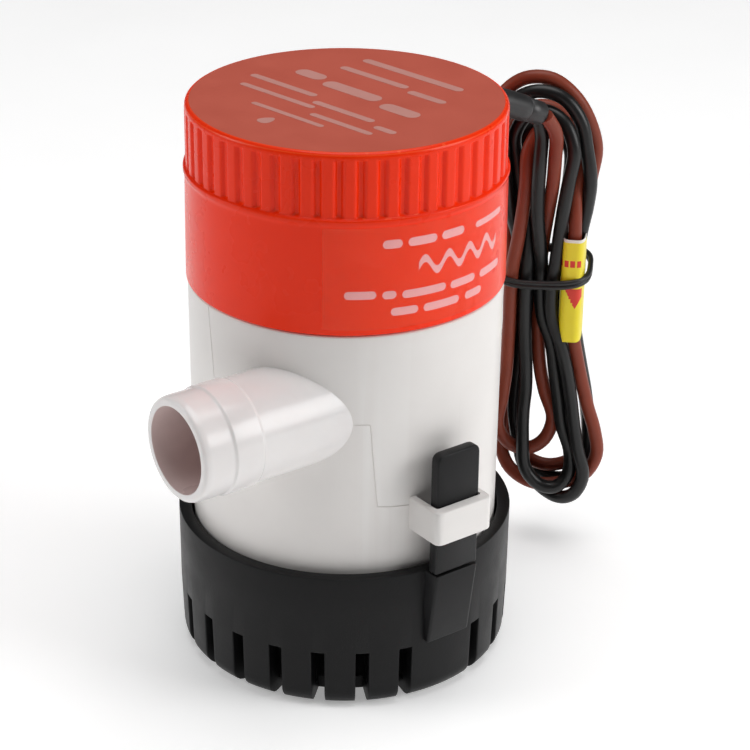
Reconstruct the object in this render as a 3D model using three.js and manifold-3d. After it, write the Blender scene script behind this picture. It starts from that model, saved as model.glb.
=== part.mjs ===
// A submersible bilge pump: a slotted strainer base that stays screwed to the boat, and a pump that
// snaps into it and lifts off. Millimetres, +Z up, the origin on the pump's axis at the base's underside.
// The hose tail points along -Y, the two snap legs stand at +X and -X, and the lead leaves towards +Y.
import * as THREE from "three";
import { mergeVertices } from "three/addons/utils/BufferGeometryUtils.js";
import Module from "manifold-3d";

const wasm = await Module();
wasm.setup();

// ---- driving dimensions ----
const gap = 0.3;
const around = 48; // facets round the outer pieces
const inside = 32; // and round the hidden ones

const base = { rimR: 32.25, rimZ: 28.1, midR: 32.15, midZ: 12, footR: 31.85, fillet: 3.4, floor: 2.5 };
const socket = { r: 29.8, seatR: 28.2, seatZ: 13.7 };
const slots = { pitch: 15, width: 2.4, top: 12.0, innerR: 25 };
const baseScrew = { r: 2.2, x: 14 };

const leg = { inner: 32.8, outer: 35.0, half: 4.8, foot: 28.4, top: 52.9, corner: 1.6 };
const boss = { face: 35.3, root: 30.6, bottom: 15.6 };
const loop = { face: 37.3, inside: 35.3, root: 27.4, half: 6.4, hole: 5.15, bottom: 35.9, top: 42.6 };

const shell = { footZ: 14, footR: 29.2, topZ: 75.9, topR: 29.5, wall: 1.7 };
const neck = { r: 27.3, bore: 24.9, top: 92 };
const ring = { z: 82, r: 27.0, section: 0.7 };
const outlet = { x: 14.7, z: 58.7, mouth: -47.4, root: -14, r: 9.8, bore: 8.0 };
const barb = { height: 0.3, front: 6.5, length: 5.5, slope: 0.5 };

const cap = { footZ: 76.25, footR: 29.8, ledgeZ: 97.9, ledgeR: 29.75, bore: 28.0, roof: 107.4 };
const knurl = { count: 49, tip: 29.4, root: 28.8, bottom: 98.2, top: 108.7, share: 0.62 };
const capEdge = [[29.4, 108.7], [29.25, 109.4], [28.95, 109.85], [28.5, 110.0]];
const capTop = 110.0;

const plate = { bottom: 14.3, top: 16.3, r: 26.0, eye: 8.5 };
const plateScrews = { count: 3, r: 22.4, shank: 1.3, head: 2.6, headHeight: 1.5, tip: 23, post: 2.9 };
const impeller = { bottom: 17.8, shroud: 23.0, top: 24.5, r: 17.5, hub: 4.4, vanes: 5, vane: 1.5 };

const pod = { bottom: 27, floor: 29, r: 21, bore: 19.2, flangeR: 27.7, flangeZ: 92.3, top: 94.3 };
const seal = { bottom: 28, top: 31.5, r: 4.4, lip: 3.4, web: 1.2, pocket: 4.7, boss: 7, bossTop: 32.9 };
const can = { bottom: 33.3, floor: 34.8, top: 84, r: 18.6, bore: 17.4 };
const shaft = { r: 1.6, bottom: 19.4, top: 90, hole: 1.9 };
const magnet = { inner: 13.7, outer: 17.1, bottom: 44, top: 74, halfAngle: 68 };
const core = { r: 12.9, bottom: 46, top: 72, slots: 5, slotR: 3.1, slotAt: 8.7, mouth: 1.8 };
const winding = { inner: 5, outer: 11.5, height: 5, bar: 2.7 };
const commutator = { r: 4.2, bottom: 78, top: 84.6 };
const endBell = { bottom: 85.3, top: 88.3, hole: 4.0 };
const bearing = { r: 3.7, lowerBottom: 33.5, upperBottom: 85.6, height: 2.6 };
const bearingFlange = { r: 4.9, lift: 0.3, thick: 1.0 };
const brush = { inner: 4.6, outer: 10.5, half: 1.6, bottom: 79.6, top: 83.4 };
const leaf = { thick: 0.4, bottom: 80.2, top: 82.8, bend: [12.4, 8], end: [9.6, 12.4], width: 0.5 };

const wire = { r: 1.4, sides: 8 };
const gland = { r: 2.6, holeR: 3.0, holeZ: 103.0 };
const sleeve = { r: 2.35 };
const glandPath = [[0, 26, 103.0], [0, 31, 103.0], [0, 35, 102.3], [0, 38.8, 100.9], [0, 42.4, 99.3]];
const sleevePath = [[0, 42.7, 99.15], [0, 44.4, 98.4], [0, 46.2, 97.55]];
const leads = {
  brown: {
    route: [[1.5, 46.6, 97.35], [1.15, 48.7, 95.9], [0.55, 49.7, 93.2], [-0.05, 49.8, 89.5],
      [-0.55, 49.7, 83], [-0.8, 49.5, 77], [-0.9, 49.5, 71], [-1.0, 49.6, 64.2]],
    inner: [[3.0, 12, 88.9], [3.0, 14, 94], [2.2, 18, 99.8], [1.4, 22, 102.6], [1.3, 25.6, 103.0]],
    color: 0x6e2f22,
  },
  black: {
    route: [[-1.5, 46.6, 97.35], [-1.85, 48.2, 96.0], [-2.35, 48.5, 93.4], [-2.85, 48.1, 90],
      [-3.1, 47.5, 84], [-3.2, 47.3, 77], [-3.2, 47.3, 71], [-3.25, 47.35, 64.2]],
    inner: [[-3.0, 12, 88.9], [-3.0, 14, 94], [-2.2, 18, 99.8], [-1.4, 22, 102.6], [-1.3, 25.6, 103.0]],
    color: 0x161616,
  },
};

// The hank hangs behind the gland in an upright plane, which turnedBy puts at 45 degrees about Z. Across
// is measured along that plane, and front and back are distances from the pump's axis to its faces.
const hank = {
  turnedBy: 45,
  front: 37.5,
  back: 48.1,
  waist: { across: 34.7, half: 6.9, low: 43, high: 70 },
  upper: { across: 30.8, z: 91.3, r: 12.9 },
  lower: { across: 36.4, z: 17.8, r: 12.0 },
};
const tag = { left: 37.4, bottom: 47.6, top: 70, thick: 0.35 };
const tie = { bottom: 60.4, top: 62.0, thick: 1.2 };

// ---- solids ----
const degrees = Math.PI / 180;

function solid(geometry) {
  const bare = geometry.index ? geometry.toNonIndexed() : geometry.clone();
  bare.deleteAttribute("normal");
  bare.deleteAttribute("uv");
  const merged = mergeVertices(bare, 1e-4);
  const index = merged.index.array;
  const triangles = [];
  for (let i = 0; i < index.length; i += 3) {
    const [a, b, c] = [index[i], index[i + 1], index[i + 2]];
    if (a !== b && b !== c && c !== a) triangles.push(a, b, c);
  }
  const vertProperties = new Float32Array(merged.attributes.position.array);
  const triVerts = new Uint32Array(triangles);
  return new wasm.Manifold(new wasm.Mesh({ numProp: 3, vertProperties, triVerts }));
}

// A profile of [radius, z] corners turned about Z. It runs anticlockwise: up the outside, down the inside.
function turned(profile, segments = around) {
  const points = [...profile, profile[0]].map(([r, z]) => new THREE.Vector2(r, z));
  return solid(new THREE.LatheGeometry(points, segments).rotateX(Math.PI / 2));
}

function tubeOf(inner, outer, bottom, top, segments = around) {
  return turned([[inner, bottom], [outer, bottom], [outer, top], [inner, top]], segments);
}

function rod(radius, bottom, top, segments = around) {
  return turned([[0, bottom], [radius, bottom], [radius, top], [0, top]], segments);
}

function block(low, high) {
  const size = high.map((value, i) => value - low[i]);
  const middle = high.map((value, i) => (value + low[i]) / 2);
  return solid(new THREE.BoxGeometry(...size).translate(...middle));
}

function extruded(shape, bottom, top, curveSegments = 8) {
  const options = { depth: top - bottom, bevelEnabled: false, curveSegments };
  return solid(new THREE.ExtrudeGeometry(shape, options).translate(0, 0, bottom));
}

function turnAboutZ(piece, angle) {
  return piece.rotate([0, 0, angle]);
}

function polar(radius, angle) {
  return [radius * Math.cos(angle), radius * Math.sin(angle)];
}

function polygon(corners) {
  return new THREE.Shape(corners.map((corner) => new THREE.Vector2(...corner)));
}

function circleShape(radius, sides) {
  return polygon(Array.from({ length: sides }, (_, i) => polar(radius, (2 * Math.PI * i) / sides)));
}

function tubeAlong(route, radius, sides, steps) {
  const extrudePath = new THREE.CatmullRomCurve3(route.map((point) => new THREE.Vector3(...point)));
  const options = { steps, extrudePath, bevelEnabled: false };
  return solid(new THREE.ExtrudeGeometry(circleShape(radius, sides), options));
}

const group = new THREE.Group();

function add(name, piece, color, roughness, metalness = 0) {
  const { vertProperties, triVerts } = piece.getMesh();
  const geometry = new THREE.BufferGeometry();
  geometry.setAttribute("position", new THREE.BufferAttribute(vertProperties, 3));
  geometry.setIndex(new THREE.BufferAttribute(triVerts, 1));
  geometry.computeVertexNormals();
  const mesh = new THREE.Mesh(geometry, new THREE.MeshStandardMaterial({ color, roughness, metalness }));
  mesh.name = name;
  group.add(mesh);
}

const finish = {
  black: [0x1b1b1d, 0.55],
  white: [0xd9d9db, 0.4],
  orange: [0xf04a18, 0.35],
  rubber: [0x232324, 0.7],
  steel: [0x9aa0a6, 0.35, 1],
  brass: [0xb08d57, 0.4, 1],
  copper: [0xb4623a, 0.4, 1],
  ferrite: [0x3a3a3e, 0.8],
  carbon: [0x2c2c2e, 0.6],
};

// ---- strainer base and its two snap legs ----
function strainerBase() {
  const filletSteps = 4;
  const outer = [];
  for (let i = 0; i <= filletSteps; i++) {
    const angle = (-90 + (90 * i) / filletSteps) * degrees;
    outer.push([
      base.footR - base.fillet + base.fillet * Math.cos(angle),
      base.fillet + base.fillet * Math.sin(angle),
    ]);
  }
  let piece = turned([
    [0, 0], ...outer, [base.midR, base.midZ], [base.rimR, base.rimZ], [socket.r, base.rimZ],
    [socket.r, socket.seatZ], [socket.seatR, socket.seatZ], [socket.seatR, base.floor], [0, base.floor],
  ]);
  for (const side of [1, -1]) {
    const x = [side * boss.root, side * boss.face].sort((a, b) => a - b);
    piece = piece.add(block([x[0], -leg.half, boss.bottom], [x[1], leg.half, base.rimZ]));
    piece = piece.subtract(turned([
      [0, -1], [baseScrew.r, -1], [baseScrew.r, base.floor + 1], [0, base.floor + 1],
    ], 16).translate([side * baseScrew.x, 0, 0]));
  }
  const cutter = block([slots.innerR, -slots.width / 2, -1], [base.rimR + 1, slots.width / 2, slots.top]);
  for (let angle = 0; angle < 360; angle += slots.pitch) {
    if (angle % 180 !== 0) piece = piece.subtract(turnAboutZ(cutter, angle));
  }
  return piece;
}
add("strainer_base", strainerBase(), ...finish.black);

function snapLeg(side) {
  const { corner } = leg;
  const shape = new THREE.Shape();
  shape.moveTo(-leg.half, leg.foot);
  shape.lineTo(leg.half, leg.foot);
  shape.lineTo(leg.half, leg.top - corner);
  shape.quadraticCurveTo(leg.half, leg.top, leg.half - corner, leg.top);
  shape.lineTo(corner - leg.half, leg.top);
  shape.quadraticCurveTo(-leg.half, leg.top, -leg.half, leg.top - corner);
  shape.closePath();
  const upright = extruded(shape, leg.inner, leg.outer, 4).rotate([90, 0, 90]);
  return side > 0 ? upright : turnAboutZ(upright, 180);
}
add("snap_leg_right", snapLeg(1), ...finish.black);
add("snap_leg_left", snapLeg(-1), ...finish.black);

// ---- pump housing: tapered shell, neck, hose tail and the two loops that the legs pass through ----
function hoseTail() {
  const crest = outlet.r + barb.height;
  const back = barb.front + barb.length;
  const length = outlet.root - outlet.mouth;
  const profile = [
    [0, 0], [outlet.r - 0.9, 0], [outlet.r - 0.2, 1.0], [outlet.r, barb.front - barb.slope],
    [crest, barb.front], [crest, back], [outlet.r, back + barb.slope], [outlet.r, length], [0, length],
  ];
  return turned(profile, 32).rotate([-90, 0, 0]).translate([outlet.x, outlet.mouth, outlet.z]);
}

function housing() {
  let piece = turned([
    [0, shell.footZ], [shell.footR, shell.footZ], [shell.topR, shell.topZ], [neck.r, shell.topZ],
    [neck.r, ring.z - 1], [ring.r - 1, ring.z - 1], [ring.r - 1, ring.z + 1], [neck.r, ring.z + 1],
    [neck.r, neck.top], [0, neck.top],
  ]);
  piece = piece.add(hoseTail());
  for (const side of [1, -1]) {
    const bar = block([loop.root, -loop.half, loop.bottom], [loop.face, loop.half, loop.top]);
    const hole = block(
      [shell.topR - 0.5, -loop.hole, loop.bottom - 1], [loop.inside, loop.hole, loop.top + 1]);
    piece = piece.add(turnAboutZ(bar.subtract(hole), side > 0 ? 0 : 180));
  }
  piece = piece.subtract(turned([
    [0, shell.footZ - 1], [shell.footR - shell.wall, shell.footZ - 1],
    [shell.topR - shell.wall, shell.topZ - 4],
    [neck.bore, shell.topZ - 1.4], [neck.bore, neck.top + 1], [0, neck.top + 1],
  ]));
  const bore = rod(outlet.bore, -1, outlet.root - outlet.mouth, 32).rotate([-90, 0, 0]);
  return piece.subtract(bore.translate([outlet.x, outlet.mouth, outlet.z]));
}
add("pump_housing", housing(), ...finish.white);

function oRing() {
  const profile = [];
  const sides = 8;
  for (let i = 0; i < sides; i++) {
    const angle = (2 * Math.PI * (i + 0.5)) / sides;
    profile.push([ring.r + ring.section * Math.cos(angle), ring.z + ring.section * Math.sin(angle)]);
  }
  return turned(profile);
}
add("cap_o_ring", oRing(), ...finish.rubber);

// ---- orange motor cap with its knurled grip and the hole for the lead ----
function motorCap() {
  const body = turned([
    [cap.bore, cap.footZ], [cap.footR, cap.footZ], [cap.ledgeR, cap.ledgeZ], [knurl.root, knurl.bottom],
    [knurl.root, knurl.top - 0.2], ...capEdge, [0, capTop],
    [0, cap.roof], [cap.bore - 1.4, cap.roof], [cap.bore, cap.roof - 1.4],
  ]);
  const pitch = (2 * Math.PI) / knurl.count;
  const valley = knurl.root - 0.1;
  const flank = 0.05;
  const corners = [];
  for (let i = 0; i < knurl.count; i++) {
    corners.push(polar(knurl.tip, i * pitch), polar(knurl.tip, (i + knurl.share) * pitch));
    corners.push(polar(valley, (i + knurl.share + flank) * pitch), polar(valley, (i + 1 - flank) * pitch));
  }
  const outline = polygon(corners);
  outline.holes.push(circleShape(cap.bore + 0.4, around));
  const hole = rod(gland.holeR, 0, 10, 16).rotate([-90, 0, 0]).translate([0, 24, gland.holeZ]);
  return body.add(extruded(outline, knurl.bottom, knurl.top)).subtract(hole);
}
add("motor_cap", motorCap(), ...finish.orange);

// ---- intake plate, its screws and the impeller ----
function intakePlate() {
  let piece = tubeOf(plate.eye, plate.r, plate.bottom, plate.top);
  for (let i = 0; i < plateScrews.count; i++) {
    const hole = rod(plateScrews.shank + gap, plate.bottom - 1, plate.top + 1, 12);
    piece = piece.subtract(turnAboutZ(hole.translate([plateScrews.r, 0, 0]), 60 + i * 120));
  }
  return piece;
}
add("intake_plate", intakePlate(), ...finish.white);

for (let i = 0; i < plateScrews.count; i++) {
  const head = plate.bottom - gap;
  const screw = turned([
    [0, head - plateScrews.headHeight], [plateScrews.head, head - plateScrews.headHeight],
    [plateScrews.head, head], [plateScrews.shank, head], [plateScrews.shank, plateScrews.tip],
    [0, plateScrews.tip],
  ], 12);
  const placed = turnAboutZ(screw.translate([plateScrews.r, 0, 0]), 60 + i * 120);
  add(`plate_screw_${i + 1}`, placed, ...finish.steel);
}

function impellerWheel() {
  const curl = 40;
  const steps = 5;
  let piece = turned([
    [0, impeller.bottom], [impeller.hub, impeller.bottom], [impeller.hub, impeller.shroud],
    [impeller.r, impeller.shroud], [impeller.r, impeller.top], [0, impeller.top],
  ]);
  const vaneRoot = impeller.hub - 1;
  const sides = [-impeller.vane / 2, impeller.vane / 2].map((offset) =>
    Array.from({ length: steps + 1 }, (_, i) => {
      const r = vaneRoot + ((impeller.r - 0.2 - vaneRoot) * i) / steps;
      const angle = curl * degrees * (i / steps);
      return [r * Math.cos(angle) - offset * Math.sin(angle), r * Math.sin(angle) + offset * Math.cos(angle)];
    }));
  const vane = polygon([...sides[0], ...sides[1].reverse()]);
  const blade = extruded(vane, impeller.bottom + 0.4, impeller.shroud + 0.5);
  for (let i = 0; i < impeller.vanes; i++) piece = piece.add(turnAboutZ(blade, (360 * i) / impeller.vanes));
  return piece.subtract(rod(shaft.hole, shaft.bottom - gap, impeller.top + 1, 16));
}
add("impeller", impellerWheel(), ...finish.white);

// ---- motor pod: the dry cup inside the water jacket ----
function motorPod() {
  let piece = turned([
    [seal.pocket, pod.bottom], [pod.r, pod.bottom], [pod.r, pod.flangeZ], [pod.flangeR, pod.flangeZ],
    [pod.flangeR, pod.top], [pod.bore, pod.top], [pod.bore, pod.floor], [seal.boss, pod.floor],
    [seal.boss, seal.bossTop], [seal.pocket, seal.bossTop],
  ], inside);
  for (let i = 0; i < plateScrews.count; i++) {
    const post = rod(plateScrews.post, plate.top + gap, pod.bottom + 6, 12);
    const hole = rod(plateScrews.shank + gap, plate.top - 1, plateScrews.tip + 1, 12);
    piece = piece.add(turnAboutZ(post.subtract(hole).translate([plateScrews.r, 0, 0]), 60 + i * 120));
  }
  return piece;
}
add("motor_pod", motorPod(), ...finish.black);
add("shaft_seal", turned([
  [shaft.hole, seal.bottom], [seal.r, seal.bottom], [seal.r, seal.top], [seal.lip, seal.top],
  [seal.lip, seal.bottom + seal.web], [shaft.hole, seal.bottom + seal.web],
], 24), ...finish.rubber);

// ---- motor ----
add("motor_can", turned([
  [bearing.r + gap, can.bottom], [can.r, can.bottom], [can.r, can.top], [can.bore, can.top],
  [can.bore, can.floor], [bearing.r + gap, can.floor],
], inside), ...finish.steel);
add("lower_bearing", turned([
  [shaft.hole, bearing.lowerBottom], [bearing.r, bearing.lowerBottom],
  [bearing.r, can.floor + bearingFlange.lift],
  [bearingFlange.r, can.floor + bearingFlange.lift],
  [bearingFlange.r, can.floor + bearingFlange.lift + bearingFlange.thick],
  [shaft.hole, can.floor + bearingFlange.lift + bearingFlange.thick],
], 24), ...finish.brass);
add("upper_bearing", tubeOf(
  shaft.hole, bearing.r, bearing.upperBottom, bearing.upperBottom + bearing.height, 24), ...finish.brass);
add("end_bell", turned([
  [endBell.hole, endBell.bottom], [can.r, endBell.bottom], [can.r, endBell.top], [endBell.hole, endBell.top],
], inside), ...finish.black);

function magnetArc(turn) {
  const steps = 10;
  const corners = [];
  for (const [r, way] of [[magnet.outer, 1], [magnet.inner, -1]]) {
    for (let i = 0; i <= steps; i++) {
      corners.push(polar(r, way * magnet.halfAngle * degrees * (-1 + (2 * i) / steps)));
    }
  }
  return turnAboutZ(extruded(polygon(corners), magnet.bottom, magnet.top), turn);
}
add("magnet_right", magnetArc(0), ...finish.ferrite);
add("magnet_left", magnetArc(180), ...finish.ferrite);

add("shaft", rod(shaft.r, shaft.bottom, shaft.top, 16), ...finish.steel);

function armatureCore() {
  let piece = tubeOf(shaft.hole, core.r, core.bottom, core.top, inside);
  const slot = rod(core.slotR, core.bottom - 1, core.top + 1, 8).translate([core.slotAt, 0, 0]);
  const mouth = block(
    [core.slotAt, -core.mouth / 2, core.bottom - 1], [core.r + 1, core.mouth / 2, core.top + 1]);
  const cut = slot.add(mouth);
  for (let i = 0; i < core.slots; i++) piece = piece.subtract(turnAboutZ(cut, (360 * i) / core.slots));
  return piece;
}
add("armature_core", armatureCore(), ...finish.steel);

function armatureWinding() {
  const endTurns = (bottom, top) => turned([
    [winding.inner, bottom], [winding.outer - 1.5, bottom], [winding.outer, bottom + 1.5],
    [winding.outer, top - 1.5], [winding.outer - 1.5, top], [winding.inner, top],
  ], 20);
  const low = core.bottom - gap;
  const high = core.top + gap;
  let piece = endTurns(low - winding.height, low).add(endTurns(high, high + winding.height));
  for (let i = 0; i < core.slots; i++) {
    const bar = rod(winding.bar, core.bottom - 1, core.top + 1, 8).translate([core.slotAt, 0, 0]);
    piece = piece.add(turnAboutZ(bar, (360 * i) / core.slots));
  }
  return piece;
}
add("armature_winding", armatureWinding(), ...finish.copper);
add("commutator", tubeOf(shaft.hole, commutator.r, commutator.bottom, commutator.top, 20), ...finish.copper);

for (const [number, turn] of [[1, 0], [2, 180]]) {
  const carbon = block([brush.inner, -brush.half, brush.bottom], [brush.outer, brush.half, brush.top]);
  add(`brush_${number}`, turnAboutZ(carbon, turn), ...finish.carbon);
  const arm = new THREE.Shape();
  arm.moveTo(brush.outer + gap, -brush.half);
  arm.lineTo(brush.outer + gap + leaf.thick, -brush.half);
  arm.lineTo(brush.outer + gap + leaf.thick, brush.half);
  arm.quadraticCurveTo(...leaf.bend, ...leaf.end);
  arm.lineTo(leaf.end[0] - leaf.width, leaf.end[1] - leaf.width / 2);
  arm.quadraticCurveTo(leaf.bend[0] - leaf.width, leaf.bend[1], brush.outer + gap, brush.half);
  arm.closePath();
  add(`brush_spring_${number}`, turnAboutZ(extruded(arm, leaf.bottom, leaf.top, 5), turn), ...finish.copper);
}

// ---- lead: gland, sleeve, two wires, hank, tie and tag ----
add("cable_gland", tubeAlong(glandPath, gland.r, 12, 7), ...finish.rubber);
add("cable_sleeve", tubeAlong(sleevePath, sleeve.r, 12, 3), ...finish.rubber);
for (const [name, lead] of Object.entries(leads)) {
  add(`lead_${name}`, tubeAlong(lead.route, wire.r, wire.sides, 12), lead.color, 0.45);
  add(`inner_lead_${name}`, tubeAlong(lead.inner, 0.9, wire.sides, 7), lead.color, 0.45);
}

function hankSolid() {
  const { waist, upper, lower } = hank;
  const shape = new THREE.Shape();
  shape.moveTo(waist.across + waist.half, waist.low);
  shape.lineTo(waist.across + waist.half, waist.high);
  shape.quadraticCurveTo(upper.across + upper.r, waist.high + 8, upper.across + upper.r, upper.z);
  shape.absarc(upper.across, upper.z, upper.r, 0, Math.PI, false);
  shape.quadraticCurveTo(upper.across - upper.r, waist.high + 8, waist.across - waist.half, waist.high);
  shape.lineTo(waist.across - waist.half, waist.low);
  shape.quadraticCurveTo(lower.across - lower.r, waist.low - 8, lower.across - lower.r, lower.z);
  shape.absarc(lower.across, lower.z, lower.r, Math.PI, 2 * Math.PI, false);
  shape.quadraticCurveTo(lower.across + lower.r, waist.low - 8, waist.across + waist.half, waist.low);
  return extruded(shape, -hank.back, -hank.front, 10).rotate([90, 0, hank.turnedBy]);
}
add("wire_hank", hankSolid(), 0x1c1817, 0.5);

// An upright box in the hank's own directions, before it is turned: across, then depth, then height.
function band([left, right], [front, back], [bottom, top]) {
  return block([left, front, bottom], [right, back, top]);
}

const waistRight = hank.waist.across + hank.waist.half;
const waistLeft = hank.waist.across - hank.waist.half;
const tagOut = gap + tag.thick;

function leadTag() {
  const depth = (out) => [hank.front - out, hank.back + out];
  const outside = band([tag.left, waistRight + tagOut], depth(tagOut), [tag.bottom, tag.top]);
  const hollow = band([tag.left - 1, waistRight + gap], depth(gap), [tag.bottom - 1, tag.top + 1]);
  return outside.subtract(hollow).rotate([0, 0, hank.turnedBy]);
}
add("lead_tag", leadTag(), 0xf0d020, 0.5);

function hankTie() {
  const clear = tagOut + gap;
  const ringBox = (out, lift) => band(
    [waistLeft - gap - out, waistRight + clear + out],
    [hank.front - clear - out, hank.back + clear + out],
    [tie.bottom - lift, tie.top + lift],
  );
  return ringBox(tie.thick, 0).subtract(ringBox(0, 1)).rotate([0, 0, hank.turnedBy]);
}
add("hank_tie", hankTie(), ...finish.rubber);

export default group;
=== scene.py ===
# A bilge pump: slotted strainer base, white housing with a hose tail, ribbed orange motor cap,
# and a two-wire lead put up in a hank with its tie and paper tag.
import math

import bmesh
import bpy
from mathutils import Matrix, Vector


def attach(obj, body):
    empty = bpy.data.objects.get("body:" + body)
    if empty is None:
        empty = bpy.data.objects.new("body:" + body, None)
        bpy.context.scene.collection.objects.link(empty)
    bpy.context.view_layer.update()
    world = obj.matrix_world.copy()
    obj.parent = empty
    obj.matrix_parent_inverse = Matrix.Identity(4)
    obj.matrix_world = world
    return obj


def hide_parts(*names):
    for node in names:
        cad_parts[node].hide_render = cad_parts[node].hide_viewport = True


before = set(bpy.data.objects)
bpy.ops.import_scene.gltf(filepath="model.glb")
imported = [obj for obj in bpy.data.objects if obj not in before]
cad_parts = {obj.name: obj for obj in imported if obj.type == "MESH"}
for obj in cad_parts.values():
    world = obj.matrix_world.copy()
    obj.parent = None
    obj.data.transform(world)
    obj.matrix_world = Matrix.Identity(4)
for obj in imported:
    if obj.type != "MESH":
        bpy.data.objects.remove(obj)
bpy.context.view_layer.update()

mm = 0.001
diagonal = math.sqrt(0.5)    # sine and cosine of 45 degrees


# ---- camera ----
cameraView = {
    "place": (0.3251, -0.2388, 0.24897),
    "turn": 52.898,     # degrees about Z
    "down": 25.754,     # degrees below level
    "roll": 0.70,       # degrees about its own axis
    "lens": 112.74,
    "sensor": 36,
}

camera = bpy.data.objects.new("camera", bpy.data.cameras.new("camera"))
bpy.context.scene.collection.objects.link(camera)
camera.data.lens = cameraView["lens"]
camera.data.sensor_width = cameraView["sensor"]
camera.data.clip_start = 0.02
camera.matrix_world = (
    Matrix.Translation(cameraView["place"])
    @ Matrix.Rotation(math.radians(cameraView["turn"]), 4, "Z")
    @ Matrix.Rotation(math.radians(90 - cameraView["down"]), 4, "X")
    @ Matrix.Rotation(math.radians(cameraView["roll"]), 4, "Z")
)
bpy.context.scene.camera = camera
print("camera placed")


# ---- materials ----
def toLinear(hexColour):
    parts = [int(hexColour[i:i + 2], 16) / 255 for i in (1, 3, 5)]
    return (*[c / 12.92 if c <= 0.04045 else ((c + 0.055) / 1.055) ** 2.4 for c in parts], 1)


def addNode(tree, kind, inputs=None, **settings):
    node = tree.nodes.new(kind)
    for name, value in settings.items():
        setattr(node, name, value)
    for name, value in (inputs or {}).items():
        socket = node.inputs[name]
        if isinstance(value, bpy.types.NodeSocket):
            tree.links.new(value, socket)
        else:
            socket.default_value = value
    return node


def makeMaterial(name, light, dark, rough, grain, relief, patch=9, edgeHighlight=None, stretch=(1, 1, 1), **shader):
    material = bpy.data.materials.new(name)
    material.use_nodes = True
    tree = material.node_tree
    tree.nodes.clear()
    place = addNode(tree, "ShaderNodeTexCoord")
    sized = addNode(tree, "ShaderNodeMapping", {"Vector": place.outputs["Object"], "Scale": stretch})
    patches = addNode(tree, "ShaderNodeTexNoise", {
        "Vector": sized.outputs["Vector"], "Scale": 1 / (patch * mm), "Detail": 3, "Roughness": 0.6})
    fine = addNode(tree, "ShaderNodeTexNoise", {
        "Vector": sized.outputs["Vector"], "Scale": 1 / (grain * mm), "Detail": 2, "Roughness": 0.55})
    colour = addNode(tree, "ShaderNodeMix", {
        0: patches.outputs["Fac"], 6: toLinear(dark), 7: toLinear(light)}, data_type="RGBA")
    tone = colour.outputs[2]
    if edgeHighlight:
        # painted highlight: sharp convex edges get a paler colour that stands in for the light they catch
        shape = addNode(tree, "ShaderNodeNewGeometry")
        highlightEdges = addNode(tree, "ShaderNodeMapRange", {
            "Value": shape.outputs["Pointiness"], "From Min": 0.52, "From Max": 0.60, "To Max": 0.55})
        highlightMix = addNode(tree, "ShaderNodeMix", {
            0: highlightEdges.outputs["Result"], 6: tone, 7: toLinear(edgeHighlight)}, data_type="RGBA")
        tone = highlightMix.outputs[2]
    sheen = addNode(tree, "ShaderNodeMapRange", {
        "Value": patches.outputs["Fac"], "From Min": 0.3, "From Max": 0.7,
        "To Min": rough - 0.05, "To Max": rough + 0.05})
    bump = addNode(tree, "ShaderNodeBump", {
        "Height": fine.outputs["Fac"], "Strength": 0.6, "Distance": relief * mm})
    body = addNode(tree, "ShaderNodeBsdfPrincipled", {
        "Base Color": tone, "Roughness": sheen.outputs["Result"], "Normal": bump.outputs["Normal"], **shader})
    addNode(tree, "ShaderNodeOutputMaterial", {"Surface": body.outputs["BSDF"]})
    return material


# glass-filled nylon as moulded: matt, a little grey in the light, fine specks of fibre
# its paler edge colour is a painted highlight
nylonBlack = makeMaterial(
    "glass filled nylon, moulded black", "#141415", "#0E0E0F", 0.4, 0.35, 0.05, patch=5, edgeHighlight="#323233",
    **{"Specular IOR Level": 0.19})
# ABS from a satin tool: warm white, soft wide highlights
# its paler edge colour is a painted highlight
absWhite = makeMaterial(
    "white ABS, satin moulded", "#EDEAE7", "#E4E0DD", 0.36, 0.5, 0.012, patch=14, edgeHighlight="#F4F3F1")
# polypropylene of the hose tail: milky, light goes a few tenths of a millimetre in
polypropylene = makeMaterial(
    "natural polypropylene, gloss moulded", "#EEECEB", "#E3DFDE", 0.22, 1.2, 0.01, patch=10,
    **{"Subsurface Weight": 0.35, "Subsurface Scale": 2 * mm, "Subsurface Radius": (1.0, 0.9, 0.86)})
# the inside of the tail: painted shade, darker than the open polypropylene, with a painted pink glow of light
# coming through the milky wall and off the orange cap
polypropyleneBorePaintedLight = makeMaterial(
    "natural polypropylene, bore with painted shade and glow", "#E6D2CF", "#D2BCB9", 0.3, 1.2, 0.01, patch=8)
# ABS from a polished tool: saturated orange, tight highlights on the ribs
# its paler edge colour is a painted highlight
absOrange = makeMaterial(
    "orange ABS, polished moulding", "#FA3403", "#F22C00", 0.28, 0.8, 0.008, patch=12, edgeHighlight="#FF6030",
    **{"Specular IOR Level": 0.2})
# the same ABS on the flat top, matt where the tool is spark eroded; its paler, greyer colour is painted sheen
# where the top faces the light
absOrangePaintedTop = makeMaterial(
    "orange ABS, matt top with painted sheen", "#C65C48", "#BB523F", 0.55, 0.25, 0.03, patch=7)
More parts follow.
